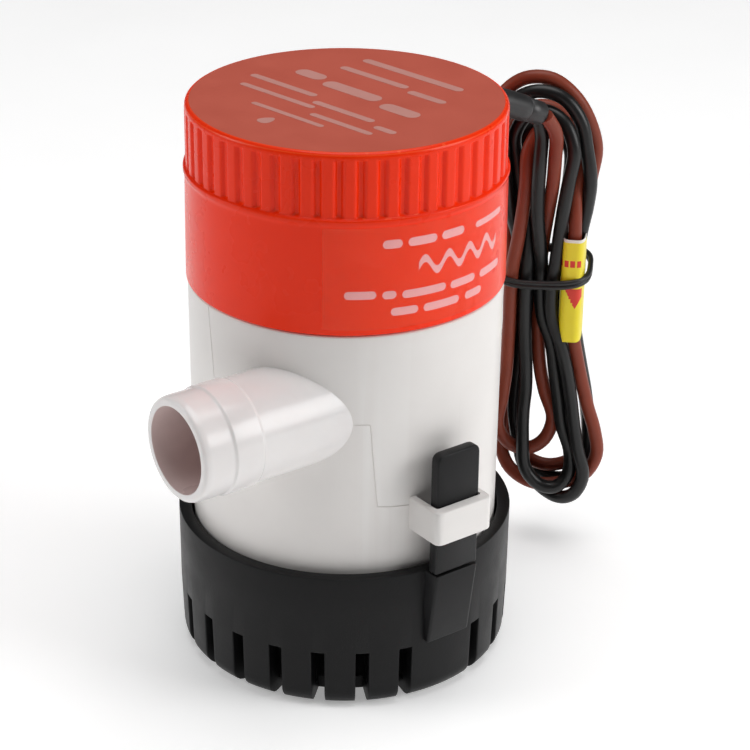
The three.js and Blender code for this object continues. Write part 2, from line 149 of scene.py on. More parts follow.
# its paler edge colour is a painted highlight
rubberBlack = makeMaterial(
    "PVC strain relief, moulded black", "#232324", "#171718", 0.42, 0.6, 0.02, patch=4, edgeHighlight="#4A4A4B")
wireBrown = makeMaterial(
    "PVC insulation, extruded brown", "#8A3E2A", "#793322", 0.42, 1.1, 0.03, patch=6,
    **{"Specular IOR Level": 0.28})
wireBlack = makeMaterial(
    "PVC insulation, extruded black", "#171717", "#0F0F10", 0.36, 1.1, 0.03, patch=6,
    **{"Specular IOR Level": 0.4})
tieBlack = makeMaterial(
    "PVC coated tie, black", "#1E1E1F", "#131314", 0.4, 0.5, 0.03, patch=3)
paperYellow = makeMaterial(
    "coated paper, printed yellow", "#F5E326", "#EBD71A", 0.42, 0.4, 0.012, patch=6)
paperWhite = makeMaterial(
    "coated paper, unprinted edge", "#F4F2EC", "#E8E5DD", 0.5, 0.4, 0.012, patch=6)
inkRed = makeMaterial(
    "offset ink, red", "#E2361F", "#D62C18", 0.4, 0.4, 0.01, patch=4)
inkPale = makeMaterial(
    "pad print ink, pale", "#F7CDD2", "#F0BDC2", 0.42, 0.5, 0.01, patch=5)
inkFaded = makeMaterial(
    "pad print ink, greyish", "#CC9188", "#C2857B", 0.55, 0.4, 0.01, patch=5)
steelBright = makeMaterial(
    "stainless steel, turned", "#C9CCCF", "#B4B8BC", 0.3, 0.3, 0.02, patch=6, stretch=(1, 1, 8),
    Metallic=1.0)
steelPlated = makeMaterial(
    "zinc plated steel, drawn", "#B9BEC2", "#9DA3A8", 0.38, 0.8, 0.02, patch=12, Metallic=1.0)
laminations = makeMaterial(
    "electrical steel, stacked", "#8E9094", "#6F7276", 0.45, 0.5, 0.06, patch=3, stretch=(0.05, 0.05, 2),
    Metallic=1.0)
bronzeSintered = makeMaterial(
    "bronze, sintered", "#B98A50", "#93693A", 0.5, 0.2, 0.05, patch=2, Metallic=1.0)
copperBright = makeMaterial(
    "copper, drawn", "#C9764A", "#B4623A", 0.32, 0.4, 0.03, patch=2, Metallic=1.0)
copperEnamelled = makeMaterial(
    "enamelled copper wire, wound", "#B4562A", "#7E3315", 0.3, 0.35, 0.15, patch=0.8, stretch=(1, 1, 3),
    **{"Coat Weight": 0.6, "Coat Roughness": 0.15})
ferrite = makeMaterial(
    "ferrite, pressed and fired", "#47474B", "#343438", 0.7, 0.3, 0.04, patch=3)
carbon = makeMaterial(
    "carbon graphite, pressed", "#38383A", "#262628", 0.5, 0.2, 0.03, patch=1.5)
# the clear label: only its gloss and its edge are seen
filmClear = makeMaterial(
    "polyester film, clear", "#FF6A3C", "#FF5A2C", 0.08, 2, 0.02, patch=12, Alpha=0.1)
print("materials made")


# ---- pieces: shared steps ----
def finishPiece(piece, body, nodes=()):
    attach(piece, body)
    if nodes:
        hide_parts(*nodes)
    return piece


def newPiece(name, bm, finishes, corner=35, index=None):
    bmesh.ops.remove_doubles(bm, verts=bm.verts, dist=0.002 * mm)
    bmesh.ops.recalc_face_normals(bm, faces=bm.faces)
    mesh = bpy.data.meshes.new(name)
    bm.to_mesh(mesh)
    bm.free()
    for finish in finishes:
        mesh.materials.append(finish)
    if index:
        mesh.polygons.foreach_set("material_index", [index] * len(mesh.polygons))
    mesh.shade_smooth()
    mesh.set_sharp_from_angle(angle=math.radians(corner))
    piece = bpy.data.objects.new(name, mesh)
    bpy.context.scene.collection.objects.link(piece)
    return piece


def combine(piece, tool, operation):
    # a boolean made final, its tool thrown away
    step = piece.modifiers.new(operation.lower(), "BOOLEAN")
    step.object = tool
    step.operation = operation
    step.solver = "MANIFOLD"
    done = bpy.data.meshes.new_from_object(piece.evaluated_get(bpy.context.evaluated_depsgraph_get()))
    piece.modifiers.clear()
    piece.data = done
    bpy.data.objects.remove(tool)


def arc(corner, before, after, radius, steps=4):
    # the points of a rounded corner between two straight runs
    here, back, ahead = Vector(corner), Vector(before), Vector(after)
    start = here + (back - here).normalized() * radius
    end = here + (ahead - here).normalized() * radius
    ways = [i / steps for i in range(steps + 1)]
    return [tuple((1 - t) ** 2 * start + 2 * t * (1 - t) * here + t * t * end) for t in ways]


def rounded(corners):
    # (across, up, radius) corners in a row; the ends stay sharp
    points = []
    for i, (a, b, radius) in enumerate(corners):
        if radius and 0 < i < len(corners) - 1:
            points += arc((a, b), corners[i - 1][:2], corners[i + 1][:2], radius)
        else:
            points.append((a, b))
    return points


def spinEdges(bm, profile, start=0, sweep=360, steps=192, closed=False):
    # a row of (radius, height) points in mm turned about Z, from start degrees through sweep
    way = (math.cos(math.radians(start)), math.sin(math.radians(start)))
    points = [bm.verts.new((r * way[0] * mm, r * way[1] * mm, z * mm)) for r, z in profile]
    runs = [bm.edges.new(pair) for pair in zip(points, points[1:])]
    if closed:
        runs.append(bm.edges.new((points[-1], points[0])))
    bmesh.ops.spin(
        bm, geom=points + runs, axis=(0, 0, 1), cent=(0, 0, 0), steps=steps,
        angle=math.radians(sweep), use_merge=sweep == 360)


def spunPiece(name, profile, finishes, steps=192, closed=True, corner=35, index=None):
    bm = bmesh.new()
    spinEdges(bm, profile, steps=steps, closed=closed)
    return newPiece(name, bm, finishes, corner, index)


def prism(name, outline, low, high, finishes, edge=0.3, turn=None, corner=30):
    # a flat outline pushed up from low to high, its edges softened
    bm = bmesh.new()
    face = bm.faces.new([bm.verts.new((x * mm, y * mm, low * mm)) for x, y in outline])
    pushed = bmesh.ops.extrude_face_region(bm, geom=[face])["geom"]
    top = [part for part in pushed if isinstance(part, bmesh.types.BMVert)]
    bmesh.ops.translate(bm, verts=top, vec=(0, 0, (high - low) * mm))
    bmesh.ops.recalc_face_normals(bm, faces=bm.faces)
    if edge:
        sharp = [e for e in bm.edges if len(e.link_faces) == 2 and e.calc_face_angle() > math.radians(40)]
        bmesh.ops.bevel(
            bm, geom=sharp, offset=edge * mm, segments=3, profile=0.5, affect="EDGES", material=-1,
            clamp_overlap=True)
    if turn:
        bmesh.ops.transform(bm, matrix=turn, verts=bm.verts)
    return newPiece(name, bm, finishes, corner)


def smoothRoute(points, share=5):
    # one smooth line through the points
    ends = [2 * points[0] - points[1], *points, 2 * points[-1] - points[-2]]
    line = []
    for a, b, c, d in zip(ends, ends[1:], ends[2:], ends[3:]):
        for i in range(share):
            t = i / share
            line.append(0.5 * (
                2 * b + (c - a) * t + (2 * a - 5 * b + 4 * c - d) * t ** 2
                + (3 * b - a - 3 * c + d) * t ** 3))
    return line + [points[-1]]


def tube(name, routes, radius, finish, closed=False, swell=None, resolution=6):
    curve = bpy.data.curves.new(name, "CURVE")
    curve.dimensions = "3D"
    curve.bevel_depth = radius * mm
    curve.bevel_resolution = resolution
    curve.use_fill_caps = True
    for route in routes:
        spline = curve.splines.new("POLY")
        spline.points.add(len(route) - 1)
        for i, (point, place) in enumerate(zip(spline.points, route)):
            point.co = (*place, 1)
            point.radius = swell[i] if swell else 1
        spline.use_smooth = True
        spline.use_cyclic_u = closed
    curve.materials.append(finish)
    piece = bpy.data.objects.new(name, curve)
    bpy.context.scene.collection.objects.link(piece)
    return piece


def meshTube(name, route, radius, finishes):
    # a closed tube as a mesh, to cut with
    draft = tube(name, [route], radius, finishes[0], resolution=1)
    bm = bmesh.new()
    bm.from_mesh(bpy.data.meshes.new_from_object(draft))
    bpy.data.objects.remove(draft)
    return newPiece(name, bm, finishes)


def hankPlace(across, depth, height):
    # the hank stands in an upright plane turned 45 degrees about the pump's axis
    return Vector(((across - depth) * diagonal * mm, (across + depth) * diagonal * mm, height * mm))


# ---- lead: two wires in a hank, its tie and its tag ----
lead = {
    "wire": 1.4,
    "brownExit": (0.0015, 0.0466, 0.09735),
    "blackExit": (-0.0015, 0.0466, 0.09735),
    # across, depth and height in mm where the wires lie settled against each other, the way each
    # runs: down from the sleeve, then one list for each turn
    "brown": [
        [
            (34, 31.9, 97.4), (35.9, 34.6, 92.8), (35.9, 35.9, 86.9), (35.6, 37.3, 81),
            (34.9, 38.8, 75.2), (34.2, 40, 69.5), (33.7, 41.6, 63.8), (33.5, 42.6, 58),
        ],
        [
            (33.5, 42.4, 52.1), (33.8, 41.6, 46.1), (34.4, 41, 40.1), (35.7, 40.9, 34.1),
            (37.6, 40.9, 28.2), (36.2, 40.3, 23.3), (32.7, 39.6, 21.1), (28.8, 38.9, 22.4),
            (26.4, 38.4, 26.9), (27.1, 38.3, 33), (27.7, 38.3, 39.1), (27.9, 38.1, 45.3),
            (28, 37.9, 51.3), (28, 37.7, 57.4), (28.3, 37.4, 63.4), (29.2, 37.1, 69.4),
            (29.9, 37.4, 75.4), (30.3, 37.7, 81.5), (30.4, 38.6, 87.5), (32.7, 40.7, 91.7),
            (36.4, 42.4, 92.7), (39.8, 43.1, 90.3), (41.4, 42.5, 85.3), (40.1, 40.6, 79.7),
            (40.3, 38.9, 73.8), (40.5, 38.2, 67.7), (40.6, 38, 61.7),
        ],
        [
            (40.6, 37.9, 55.6), (40.9, 38.2, 49.6), (42, 38.6, 43.7), (43.3, 38.8, 37.9),
            (44.8, 39, 32.2), (46.5, 39.2, 26.6), (47.2, 39.5, 20.8), (44.7, 39.6, 15.8),
            (39.7, 40, 13.2), (34, 39.4, 13.2), (29.1, 40.4, 15.8), (26.8, 41.3, 20.9),
            (26.6, 41.4, 26.7), (26.7, 41.3, 32.7), (27, 41.1, 38.6), (27.5, 41, 44.6),
            (27.9, 40.9, 50.5), (28, 40.9, 56.5), (27.4, 41.5, 62.3), (26.7, 43, 68),
            (26.1, 42.9, 74.1), (25.2, 42.3, 80.1), (24.4, 42.2, 86.1), (23.5, 42.4, 92.1),
            (24.7, 42.8, 97.6), (28.9, 43.2, 101), (34.4, 43.4, 101), (39, 43.5, 97.5),
            (42, 44.1, 92.3), (43.5, 44.7, 86.5), (42.8, 44.2, 80.6), (42.1, 44.1, 74.6),
            (41.4, 44, 68.7), (40.8, 43.9, 62.7), (40.5, 43.9, 56.7),
        ],
        [
            (40.8, 44.1, 50.7), (41.5, 44.5, 44.8), (42.6, 44.7, 38.9), (43.7, 44.9, 33),
            (44.6, 45.1, 27.1), (44.8, 45.2, 21.2), (41.9, 44.9, 16.6), (36.9, 44.8, 14.8),
            (31.9, 45.2, 16.4), (28.7, 45.3, 21), (28.4, 45, 26.9), (28.3, 44.5, 32.9),
            (28.2, 44.1, 38.9), (28.1, 43.9, 44.9), (28, 43.9, 50.8), (28, 44, 56.8),
            (27.9, 44.7, 62.7), (27.8, 45.7, 68.6), (27.3, 45.9, 74.6), (26.5, 46.4, 80.7),
            (25.6, 46.8, 86.8), (27.7, 47.4, 91.8), (31.9, 47.7, 93.9), (36.3, 47.7, 92.5),
            (39.2, 47.2, 88), (38.9, 46.8, 82), (38.6, 46.5, 75.9), (38.2, 46.5, 69.8),
            (37.6, 46.5, 63.8), (37.3, 46.6, 57.8),
        ],
        [
            (37.3, 46.6, 51.8), (37.3, 46.6, 47.3),
        ],
    ],
    "black": [
        [
            (31.9, 34, 97.4), (33.1, 35.6, 92.4), (33, 35.6, 86.4), (32.8, 36.3, 80.5),
            (32.9, 36.6, 74.7), (33.5, 37.2, 68.9), (34, 38.7, 63.2), (34, 39.6, 57.3),
        ],
        [
            (34.7, 39.6, 51.4), (36.7, 39.3, 45.8), (37.7, 38.8, 39.8), (38.7, 38.5, 33.8),
            (39.7, 38.5, 27.7), (41.6, 38.7, 21.8), (41.6, 37.7, 16.8), (39.1, 36.9, 13.9),
            (35.5, 36.6, 14.4), (32.5, 36.7, 18.1), (31.8, 37.3, 23.9), (31.6, 38.1, 29.9),
            (31.9, 38.2, 35.9), (31.7, 38.1, 41.9), (31.3, 38, 47.9), (31.1, 37.9, 53.9),
            (31.1, 38.1, 59.9), (31.2, 38.8, 65.8), (30.8, 39.9, 71.7), (29.5, 40.6, 77.6),
            (28.2, 41.1, 83.6), (27.4, 41.7, 89.4), (29.7, 41.4, 93.9), (33.7, 40.2, 95.4),
            (37.5, 38.6, 93.4), (39.5, 37.3, 88.4), (38.8, 37.3, 82.3), (38, 37.4, 76.2),
            (37.4, 37.6, 70.1), (36.9, 37.6, 64.1), (36.3, 37.6, 58.1),
        ],
        [
            (36.7, 37.5, 52.2), (38.7, 37.1, 46.7), (40.2, 37, 40.9), (41.3, 37.2, 35),
            (42.2, 37.1, 29.1), (43.3, 36.7, 23.2), (44.7, 36.6, 17.4), (43.1, 37.5, 12.4),
            (39.7, 39.5, 10.1), (35.5, 41.7, 11.3), (31.9, 42.4, 15.6), (30.4, 42.7, 21.5),
            (29.5, 42.3, 27.4), (29.6, 41.8, 33.4), (30, 41.5, 39.3), (30.5, 41.2, 45.2),
            (31, 40.9, 51.2), (31.1, 40.9, 57.2), (30.3, 41.2, 63.1), (28.7, 41, 68.9),
            (27.2, 40.1, 74.6), (26.2, 39.5, 80.4), (25.5, 39.2, 86.2), (24.8, 39.7, 92.1),
            (27, 40.4, 97), (31.6, 40.7, 99.3), (36.8, 40.6, 98.1), (40.4, 40.3, 93.7),
            (41.9, 40, 87.8), (42.9, 39.8, 81.8), (42.5, 41.1, 75.8), (41.5, 41.1, 69.8),
            (40.9, 40.9, 63.8), (40.6, 40.9, 57.8),
        ],
        [
            (40.7, 41, 51.8), (41.7, 41.5, 45.9), (42.9, 41.7, 40), (44.1, 41.9, 34.1),
            (44.9, 42.1, 28.2), (45.1, 42.3, 22.1), (44.1, 42.5, 16.3), (40.3, 43.8, 12.5),
            (35.7, 46, 12.1), (32, 48, 15.3), (30.5, 48.2, 20.9), (30.6, 47.1, 27),
            (30.7, 46.4, 33.2), (30.8, 45.6, 39.2), (30.9, 44.8, 45.3), (31, 44.2, 51.4),
            (31, 44.2, 57.5), (30.8, 44.2, 63.6), (29.9, 43.8, 69.6), (28.8, 43.5, 75.6),
            (27.4, 43.7, 81.6), (28.1, 44.5, 87.1), (31.3, 44.9, 90.2), (35.3, 44.9, 89.9),
            (38.3, 44.3, 86.4), (38.5, 43.7, 80.6), (37.8, 43.5, 74.4), (37.6, 43.5, 68.3),
            (37.4, 43.6, 62.2), (37.3, 43.6, 56.2),
        ],
        [
            (37.3, 43.6, 50.2), (37.3, 43.6, 47.2),
        ],
    ],
}


def wireRoute(turns, exitPlace):
    # a smooth line through all turns, which starts exactly at its exit
    route = smoothRoute([hankPlace(*row) for turn in turns for row in turn])
    route[0] = Vector(exitPlace)
    return route


def routeLength(route):
    return sum((b - a).length for a, b in zip(route, route[1:]))


brownRoute = wireRoute(lead["brown"], lead["brownExit"])
blackRoute = wireRoute(lead["black"], lead["blackExit"])
brownWire = tube("wire_brown", [brownRoute], lead["wire"], wireBrown)
blackWire = tube("wire_black", [blackRoute], lead["wire"], wireBlack)
finishPiece(brownWire, "pump", ["lead_brown"])
finishPiece(blackWire, "pump", ["lead_black", "wire_hank"])

tie = {
    "height": 61.6, "left": 25.3, "right": 43.7, "front": 34.9, "back": 49.4, "square": 0.62,
    "cord": 0.55, "apart": 0.84, "tilt": 1.12, "lean": 0.4,
}


def softSquare(angle, square):
    # a rounded oblong: 1 gives an ellipse, nearer 0 a rectangle
    return [math.copysign(abs(part) ** square, part) for part in (math.cos(angle), math.sin(angle))]


def tieLoop(height):
    across, depth = (tie["left"] + tie["right"]) / 2, (tie["front"] + tie["back"]) / 2
    loop = []
    for i in range(120):
        x, y = softSquare(2 * math.pi * i / 120, tie["square"])
        loop.append(hankPlace(
            across + x * (tie["right"] - tie["left"]) / 2, depth + y * (tie["back"] - tie["front"]) / 2,
            height + tie["tilt"] * y + tie["lean"] * x))
    return loop


tiePiece = tube(
    "hank_tie_twist", [tieLoop(tie["height"] + tie["apart"] * share) for share in (-0.5, 0.5)],
    tie["cord"], tieBlack, closed=True, resolution=4)
finishPiece(tiePiece, "pump", ["hank_tie"])

tag = {
    "left": 37.9, "right": 42.7, "front": 35.9, "back": 46.3, "square": 0.5, "bottom": 47.8, "top": 70.2,
    "thick": 0.16, "margin": 0.7,
    "triangle": {"tip": 55.2, "top": 59.6, "across": 41.2, "slope": 0.5},
    "bars": {"bottom": 64.2, "top": 65.8, "pitch": 1.25, "share": 0.66},
}


def makeTag():
    # a strip of paper wrapped round two wires: an oval sleeve with its printed face outwards
    around, along = 220, 110
    mark, bar = tag["triangle"], tag["bars"]
    bm = bmesh.new()
    loop = []
    for i in range(around):
        x, y = softSquare(2 * math.pi * i / around, tag["square"])
        loop.append(bm.verts.new(hankPlace(
            (tag["left"] + tag["right"]) / 2 + x * (tag["right"] - tag["left"]) / 2,
            (tag["front"] + tag["back"]) / 2 + y * (tag["back"] - tag["front"]) / 2, tag["bottom"])))
    rim = [bm.edges.new(pair) for pair in zip(loop, loop[1:] + loop[:1])]
    step = (tag["top"] - tag["bottom"]) / along
    for _ in range(along):
        grown = bmesh.ops.extrude_edge_only(bm, edges=rim)["geom"]
        corners = [part for part in grown if isinstance(part, bmesh.types.BMVert)]
        rim = [part for part in grown if isinstance(part, bmesh.types.BMEdge)
               and abs(part.verts[0].co.z - part.verts[1].co.z) < 1e-6]
        bmesh.ops.translate(bm, verts=corners, vec=(0, 0, step * mm))
    bmesh.ops.recalc_face_normals(bm, faces=bm.faces)
    for face in bm.faces:
        spot = face.calc_center_median()
        z = spot.z / mm
        # a triangle below the tie, three short bars above it, and a bare margin at the top
        across = (spot.x + spot.y) * diagonal / mm
        facing = face.normal.dot(Vector((diagonal, -diagonal, 0))) > 0.3
        wide = (z - mark["tip"]) * mark["slope"]
        triangle = facing and mark["tip"] < z < mark["top"] and abs(across - mark["across"]) < wide
        inBar = (across / bar["pitch"]) % 1 < bar["share"]
        bars = facing and bar["bottom"] < z < bar["top"] and inBar
        face.material_index = 2 if z > tag["top"] - tag["margin"] else (1 if triangle or bars else 0)
    bmesh.ops.solidify(bm, geom=bm.faces, thickness=tag["thick"] * mm)
    return newPiece("lead_tag_paper", bm, [paperYellow, inkRed, paperWhite], 60)


tagPiece = makeTag()
finishPiece(tagPiece, "pump", ["lead_tag"])
print("lead laid", round(routeLength(brownRoute), 3), round(routeLength(blackRoute), 3))

# ---- gland and sleeve ----
gland = {
    "route": [
        (26, 103.0), (28.5, 103.0), (31, 102.95), (33, 102.75), (35, 102.3), (37, 101.65), (38.8, 100.9),
        (40.6, 100.1), (41.9, 99.53), (42.3, 99.35)],
    "swell": [1, 1, 1, 1, 1, 1, 1, 1, 1, 0.94],
    "radius": 2.6,
    "sleeve": [(42.4, 99.3), (42.6, 99.2), (44.4, 98.4), (46.0, 97.64), (46.3, 97.5), (46.4, 97.45)],
    "sleeveSwell": [0.9, 1, 1, 1, 0.96, 0.86],
    "sleeveRadius": 2.35,
}
glandPiece = tube(
    "cable_gland_moulded", [[Vector((0, y * mm, z * mm)) for y, z in gland["route"]]],
    gland["radius"], rubberBlack, swell=gland["swell"], resolution=12)
finishPiece(glandPiece, "pump", ["cable_gland"])
sleevePiece = tube(
    "cable_sleeve_moulded", [[Vector((0, y * mm, z * mm)) for y, z in gland["sleeve"]]],
    gland["sleeveRadius"], rubberBlack, swell=gland["sleeveSwell"], resolution=12)
finishPiece(sleevePiece, "pump", ["cable_sleeve"])
print("gland made")

# ---- strainer base ----
base = {
    "foot": 31.85, "fillet": 3.4, "mid": (32.15, 12.0), "rim": (32.25, 28.1), "socket": 29.8,
    "seat": (28.2, 13.7), "floor": 2.5, "slotIn": 25.0, "slots": 24, "slotWidth": 2.4,
    "edge": 0.25, "finEdge": 0.6,
    "boss": {"root": 30.6, "face": 35.3, "half": 4.8, "bottom": 12.9, "taper": 2.2, "round": 0.6},
    "screw": {"radius": 2.2, "across": 14},
}


def makeBase():
    pitch = 360 / base["slots"]
    gapAngle = 2 * math.degrees(math.asin(base["slotWidth"] / 2 / 31))
    outerFoot = [(base["slotIn"], 0)] + [
        (base["foot"] - base["fillet"] * (1 - math.sin(math.radians(a))),
         base["fillet"] * (1 - math.cos(math.radians(a)))) for a in range(0, 91, 15)] + [base["mid"]]
    innerFoot = [(base["seat"][0], base["mid"][1]), (base["seat"][0], base["floor"]),
                 (base["slotIn"], base["floor"])]
    upper = [base["mid"], (32.2, 20), base["rim"], (base["socket"], base["rim"][1]),
             (base["socket"], base["seat"][1]), base["seat"], innerFoot[0]]
    bm = bmesh.new()
    for k in range(base["slots"]):
        slotStart = k * pitch - gapAngle / 2
        spans = [(slotStart, gapAngle, 4, k % 12 == 0), (slotStart + gapAngle, pitch - gapAngle, 8, True)]
        for start, sweep, steps, whole in spans:
            spinEdges(bm, upper, start, sweep, steps)
            spinEdges(bm, [(base["slotIn"], 0), (12, 0), (0, 0)], start, sweep, steps)
            spinEdges(bm, [(0, base["floor"]), (12, base["floor"]), innerFoot[2]], start, sweep, steps)
            if whole:
                spinEdges(bm, outerFoot, start, sweep, steps)
                spinEdges(bm, innerFoot, start, sweep, steps)
            else:
                spinEdges(bm, [innerFoot[0], base["mid"]], start, sweep, steps)
                spinEdges(bm, [(base["slotIn"], base["floor"]), (base["slotIn"], 0)], start, sweep, steps)
        if k % 12:
            for angle in (slotStart, slotStart + gapAngle):
                way = (math.cos(math.radians(angle)), math.sin(math.radians(angle)))
                bm.faces.new([bm.verts.new((r * way[0] * mm, r * way[1] * mm, z * mm))
                              for r, z in outerFoot + innerFoot])
    bmesh.ops.remove_doubles(bm, verts=bm.verts, dist=0.01 * mm)
    bmesh.ops.dissolve_degenerate(bm, edges=bm.edges, dist=0.001 * mm)
    bmesh.ops.recalc_face_normals(bm, faces=bm.faces)
    # the fins are well rounded, the rim less
    for fins, offset, segments in ((True, base["finEdge"], 3), (False, base["edge"], 2)):
        sharp = []
        for edge in bm.edges:
            low = all(vert.co.z < 12.1 * mm and vert.co.xy.length > 30.5 * mm for vert in edge.verts)
            high = all(vert.co.z > 13.5 * mm for vert in edge.verts)
            if (low if fins else high) and edge.calc_face_angle() > math.radians(50):
                sharp.append(edge)
        bmesh.ops.bevel(
            bm, geom=sharp, offset=offset * mm, segments=segments, profile=0.5, affect="EDGES", material=-1,
            clamp_overlap=True)
    piece = newPiece("strainer_base_moulded", bm, [nylonBlack], 32)
    boss = base["boss"]
    for side in (1, -1):
        outline = [(side * x, side * y) for x, y in rounded([
            (boss["root"], -boss["half"], 0), (boss["face"], -boss["half"], boss["round"]),
            (boss["face"], boss["half"], boss["round"]), (boss["root"], boss["half"], 0)])]
        block = prism("boss", outline, boss["bottom"], base["rim"][1], [nylonBlack], 0.25)
        # its face leans in towards the foot
        for vert in block.data.vertices:
            if abs(vert.co.x) > 33 * mm:
                share = (base["rim"][1] * mm - vert.co.z) / ((base["rim"][1] - boss["bottom"]) * mm)
                vert.co.x -= side * boss["taper"] * mm * max(share, 0) ** 1.5
        combine(piece, block, "UNION")
        r = base["screw"]["radius"]
        hole = spunPiece("hole", [(0, -1), (r, -1), (r, 4), (0, 4)], [nylonBlack], 32, closed=False)
        hole.data.transform(Matrix.Translation((side * base["screw"]["across"] * mm, 0, 0)))
        combine(piece, hole, "DIFFERENCE")
    piece.data.set_sharp_from_angle(angle=math.radians(32))
    return piece


finishPiece(makeBase(), "strainer", ["strainer_base"])
print("strainer base made")

# ---- snap legs ----
leg = {"inner": 32.8, "outer": 35.0, "half": 4.8, "foot": 28.4, "top": 52.9, "round": 1.6, "edge": 0.35}


def makeLeg(side, name):
    outline = rounded([(-leg["half"], leg["foot"], 0), (leg["half"], leg["foot"], 0),
                       (leg["half"], leg["top"], leg["round"]), (-leg["half"], leg["top"], leg["round"]),
                       (-leg["half"], leg["foot"], 0)])[:-1]
    turn = Matrix(((0, 0, side, 0), (side, 0, 0, 0), (0, 1, 0, 0), (0, 0, 0, 1)))
    return prism(name, outline, leg["inner"], leg["outer"], [nylonBlack], leg["edge"], turn)


finishPiece(makeLeg(1, "snap_leg_right_moulded"), "leg_right", ["snap_leg_right"])
finishPiece(makeLeg(-1, "snap_leg_left_moulded"), "leg_left", ["snap_leg_left"])
print("snap legs made")

# ---- pump housing ----
housing = {
    "foot": (29.2, 14), "top": (29.5, 75.9), "wall": 1.7, "neck": 27.3, "bore": 24.9, "neckTop": 92,
    "groove": (81, 83, 26),
    # the seams the mould leaves: angle from -Y towards +X in degrees, height
    "mouldLines": [
        [(-3.6, 77), (-3.0, 73), (-2.1, 69), (-0.65, 61.9)],
        [
            (56.9, 58.55), (60, 58.5), (62.5, 58.4), (63.5, 52), (64.5, 46), (65.45, 41.6), (70, 41.3),
            (75, 41.1), (79, 41.0)]],
    "lineWide": 0.13,
    "tail": {"across": 14.7, "height": 58.7, "mouth": -47.4, "root": -14, "radius": 9.8, "bore": 8.0},
    "loop": {"face": 37.3, "inside": 35.3, "root": 27.4, "half": 6.4, "hole": 5.15, "bottom": 35.9,
             "top": 42.6, "round": 1.6},
}


def placeTail(piece):
    # turned about Z, then laid along -Y with its mouth outwards
    tail = housing["tail"]
    piece.data.transform(
        Matrix.Translation((tail["across"] * mm, tail["mouth"] * mm, tail["height"] * mm))
        @ Matrix.Rotation(math.radians(-90), 4, "X"))


def makeHousing():
    foot, top, tail, loop = (housing[name] for name in ("foot", "top", "tail", "loop"))
    neck, neckTop, bore, wall = (housing[name] for name in ("neck", "neckTop", "bore", "wall"))
    low, high, deep = housing["groove"]
    profile = rounded([
        (foot[0] - wall, foot[1], 0), (foot[0], foot[1], 0.3), (top[0], top[1], 0.5), (neck, top[1], 0.2),
        (neck, low, 0.2), (deep, low, 0.2), (deep, high, 0.2), (neck, high, 0.2), (neck, neckTop, 0.4),
        (bore, neckTop, 0.3), (bore, top[1] - 1.4, 0.3), (top[0] - wall, top[1] - 4, 0.6),
        (foot[0] - wall, foot[1], 0)])[:-1]
    finishes = [absWhite, polypropylene, polypropyleneBorePaintedLight]
    piece = spunPiece("pump_housing_moulded", profile, finishes)
    length = tail["root"] - tail["mouth"]
    r = tail["radius"]
    body = rounded([
        (0, 0.2, 0), (tail["bore"] - 0.5, 0.2, 0), (tail["bore"] + 0.25, 0, 0.2), (r - 0.35, 0, 0.55),
        (r - 0.02, 1.1, 0.5), (r, 6.0, 0.2), (r + 0.3, 6.5, 0.15), (r + 0.3, 11.9, 0.15), (r, 12.4, 0.2),
        (r, length, 0), (0, length, 0)])
    solid = spunPiece("tail", body, finishes, 128, closed=False, index=1)
    placeTail(solid)
    combine(piece, solid, "UNION")
    for side in (1, -1):
        outline = rounded([
            (loop["root"], -loop["half"], 0), (loop["face"], -loop["half"], loop["round"]),
            (loop["face"], loop["half"], loop["round"]), (loop["root"], loop["half"], 0)])
        window = rounded([
            (29.0, -loop["hole"], 0), (loop["inside"], -loop["hole"], 0.6),
            (loop["inside"], loop["hole"], 0.6), (29.0, loop["hole"], 0)])
        flip = Matrix.Rotation(0 if side > 0 else math.pi, 4, "Z")
        bar = prism("bar", outline, loop["bottom"], loop["top"], finishes, 0.35, flip)
        combine(bar, prism("window", window, loop["bottom"] - 1, loop["top"] + 1, finishes, 0, flip),
                "DIFFERENCE")
        combine(piece, bar, "UNION")
    r = tail["bore"]
    # the bore takes the third finish, with its painted shade and painted pink glow
    hole = spunPiece(
        "hole", [(0, -1), (r + 0.3, -1), (r, 0.5), (r, length + 1), (0, length + 1)], finishes, 96,
        closed=False, index=2)
    placeTail(hole)
    combine(piece, hole, "DIFFERENCE")
    for line in housing["mouldLines"]:
        route = []
        for angle, z in line:
            r = (foot[0] + (top[0] - foot[0]) * (z - foot[1]) / (top[1] - foot[1])) * mm
            way = math.radians(angle - 90)
            route.append(Vector((r * math.cos(way), r * math.sin(way), z * mm)))
        combine(piece, meshTube("groove", route, housing["lineWide"], finishes), "DIFFERENCE")
    piece.data.set_sharp_from_angle(angle=math.radians(32))
    return piece


finishPiece(makeHousing(), "pump", ["pump_housing"])
print("housing made")

# ---- motor cap ----
cap = {
    "foot": (29.8, 76.25), "ledge": (29.9, 97.5), "bore": 28.0, "roof": 107.4, "top": 110.0,
    "ribs": 49, "tip": 29.4, "root": 28.8, "ribFoot": 98.05, "ribTop": 108.72, "share": 0.62, "steps": 16,
    "hole": {"radius": 3.0, "start": 22, "height": 103.0},
}


def ribHeight(angle):
    # how far out a rib stands at this angle, from 0 in a valley to 1 on its face
    pitch = 2 * math.pi / cap["ribs"]
    away = ((angle / pitch - cap["share"] / 2 + 0.09) + 0.5) % 1 - 0.5
    edge = (cap["share"] / 2 - abs(away)) / 0.07
    return min(1, max(0, edge * 0.5 + 0.5)) ** 0.7


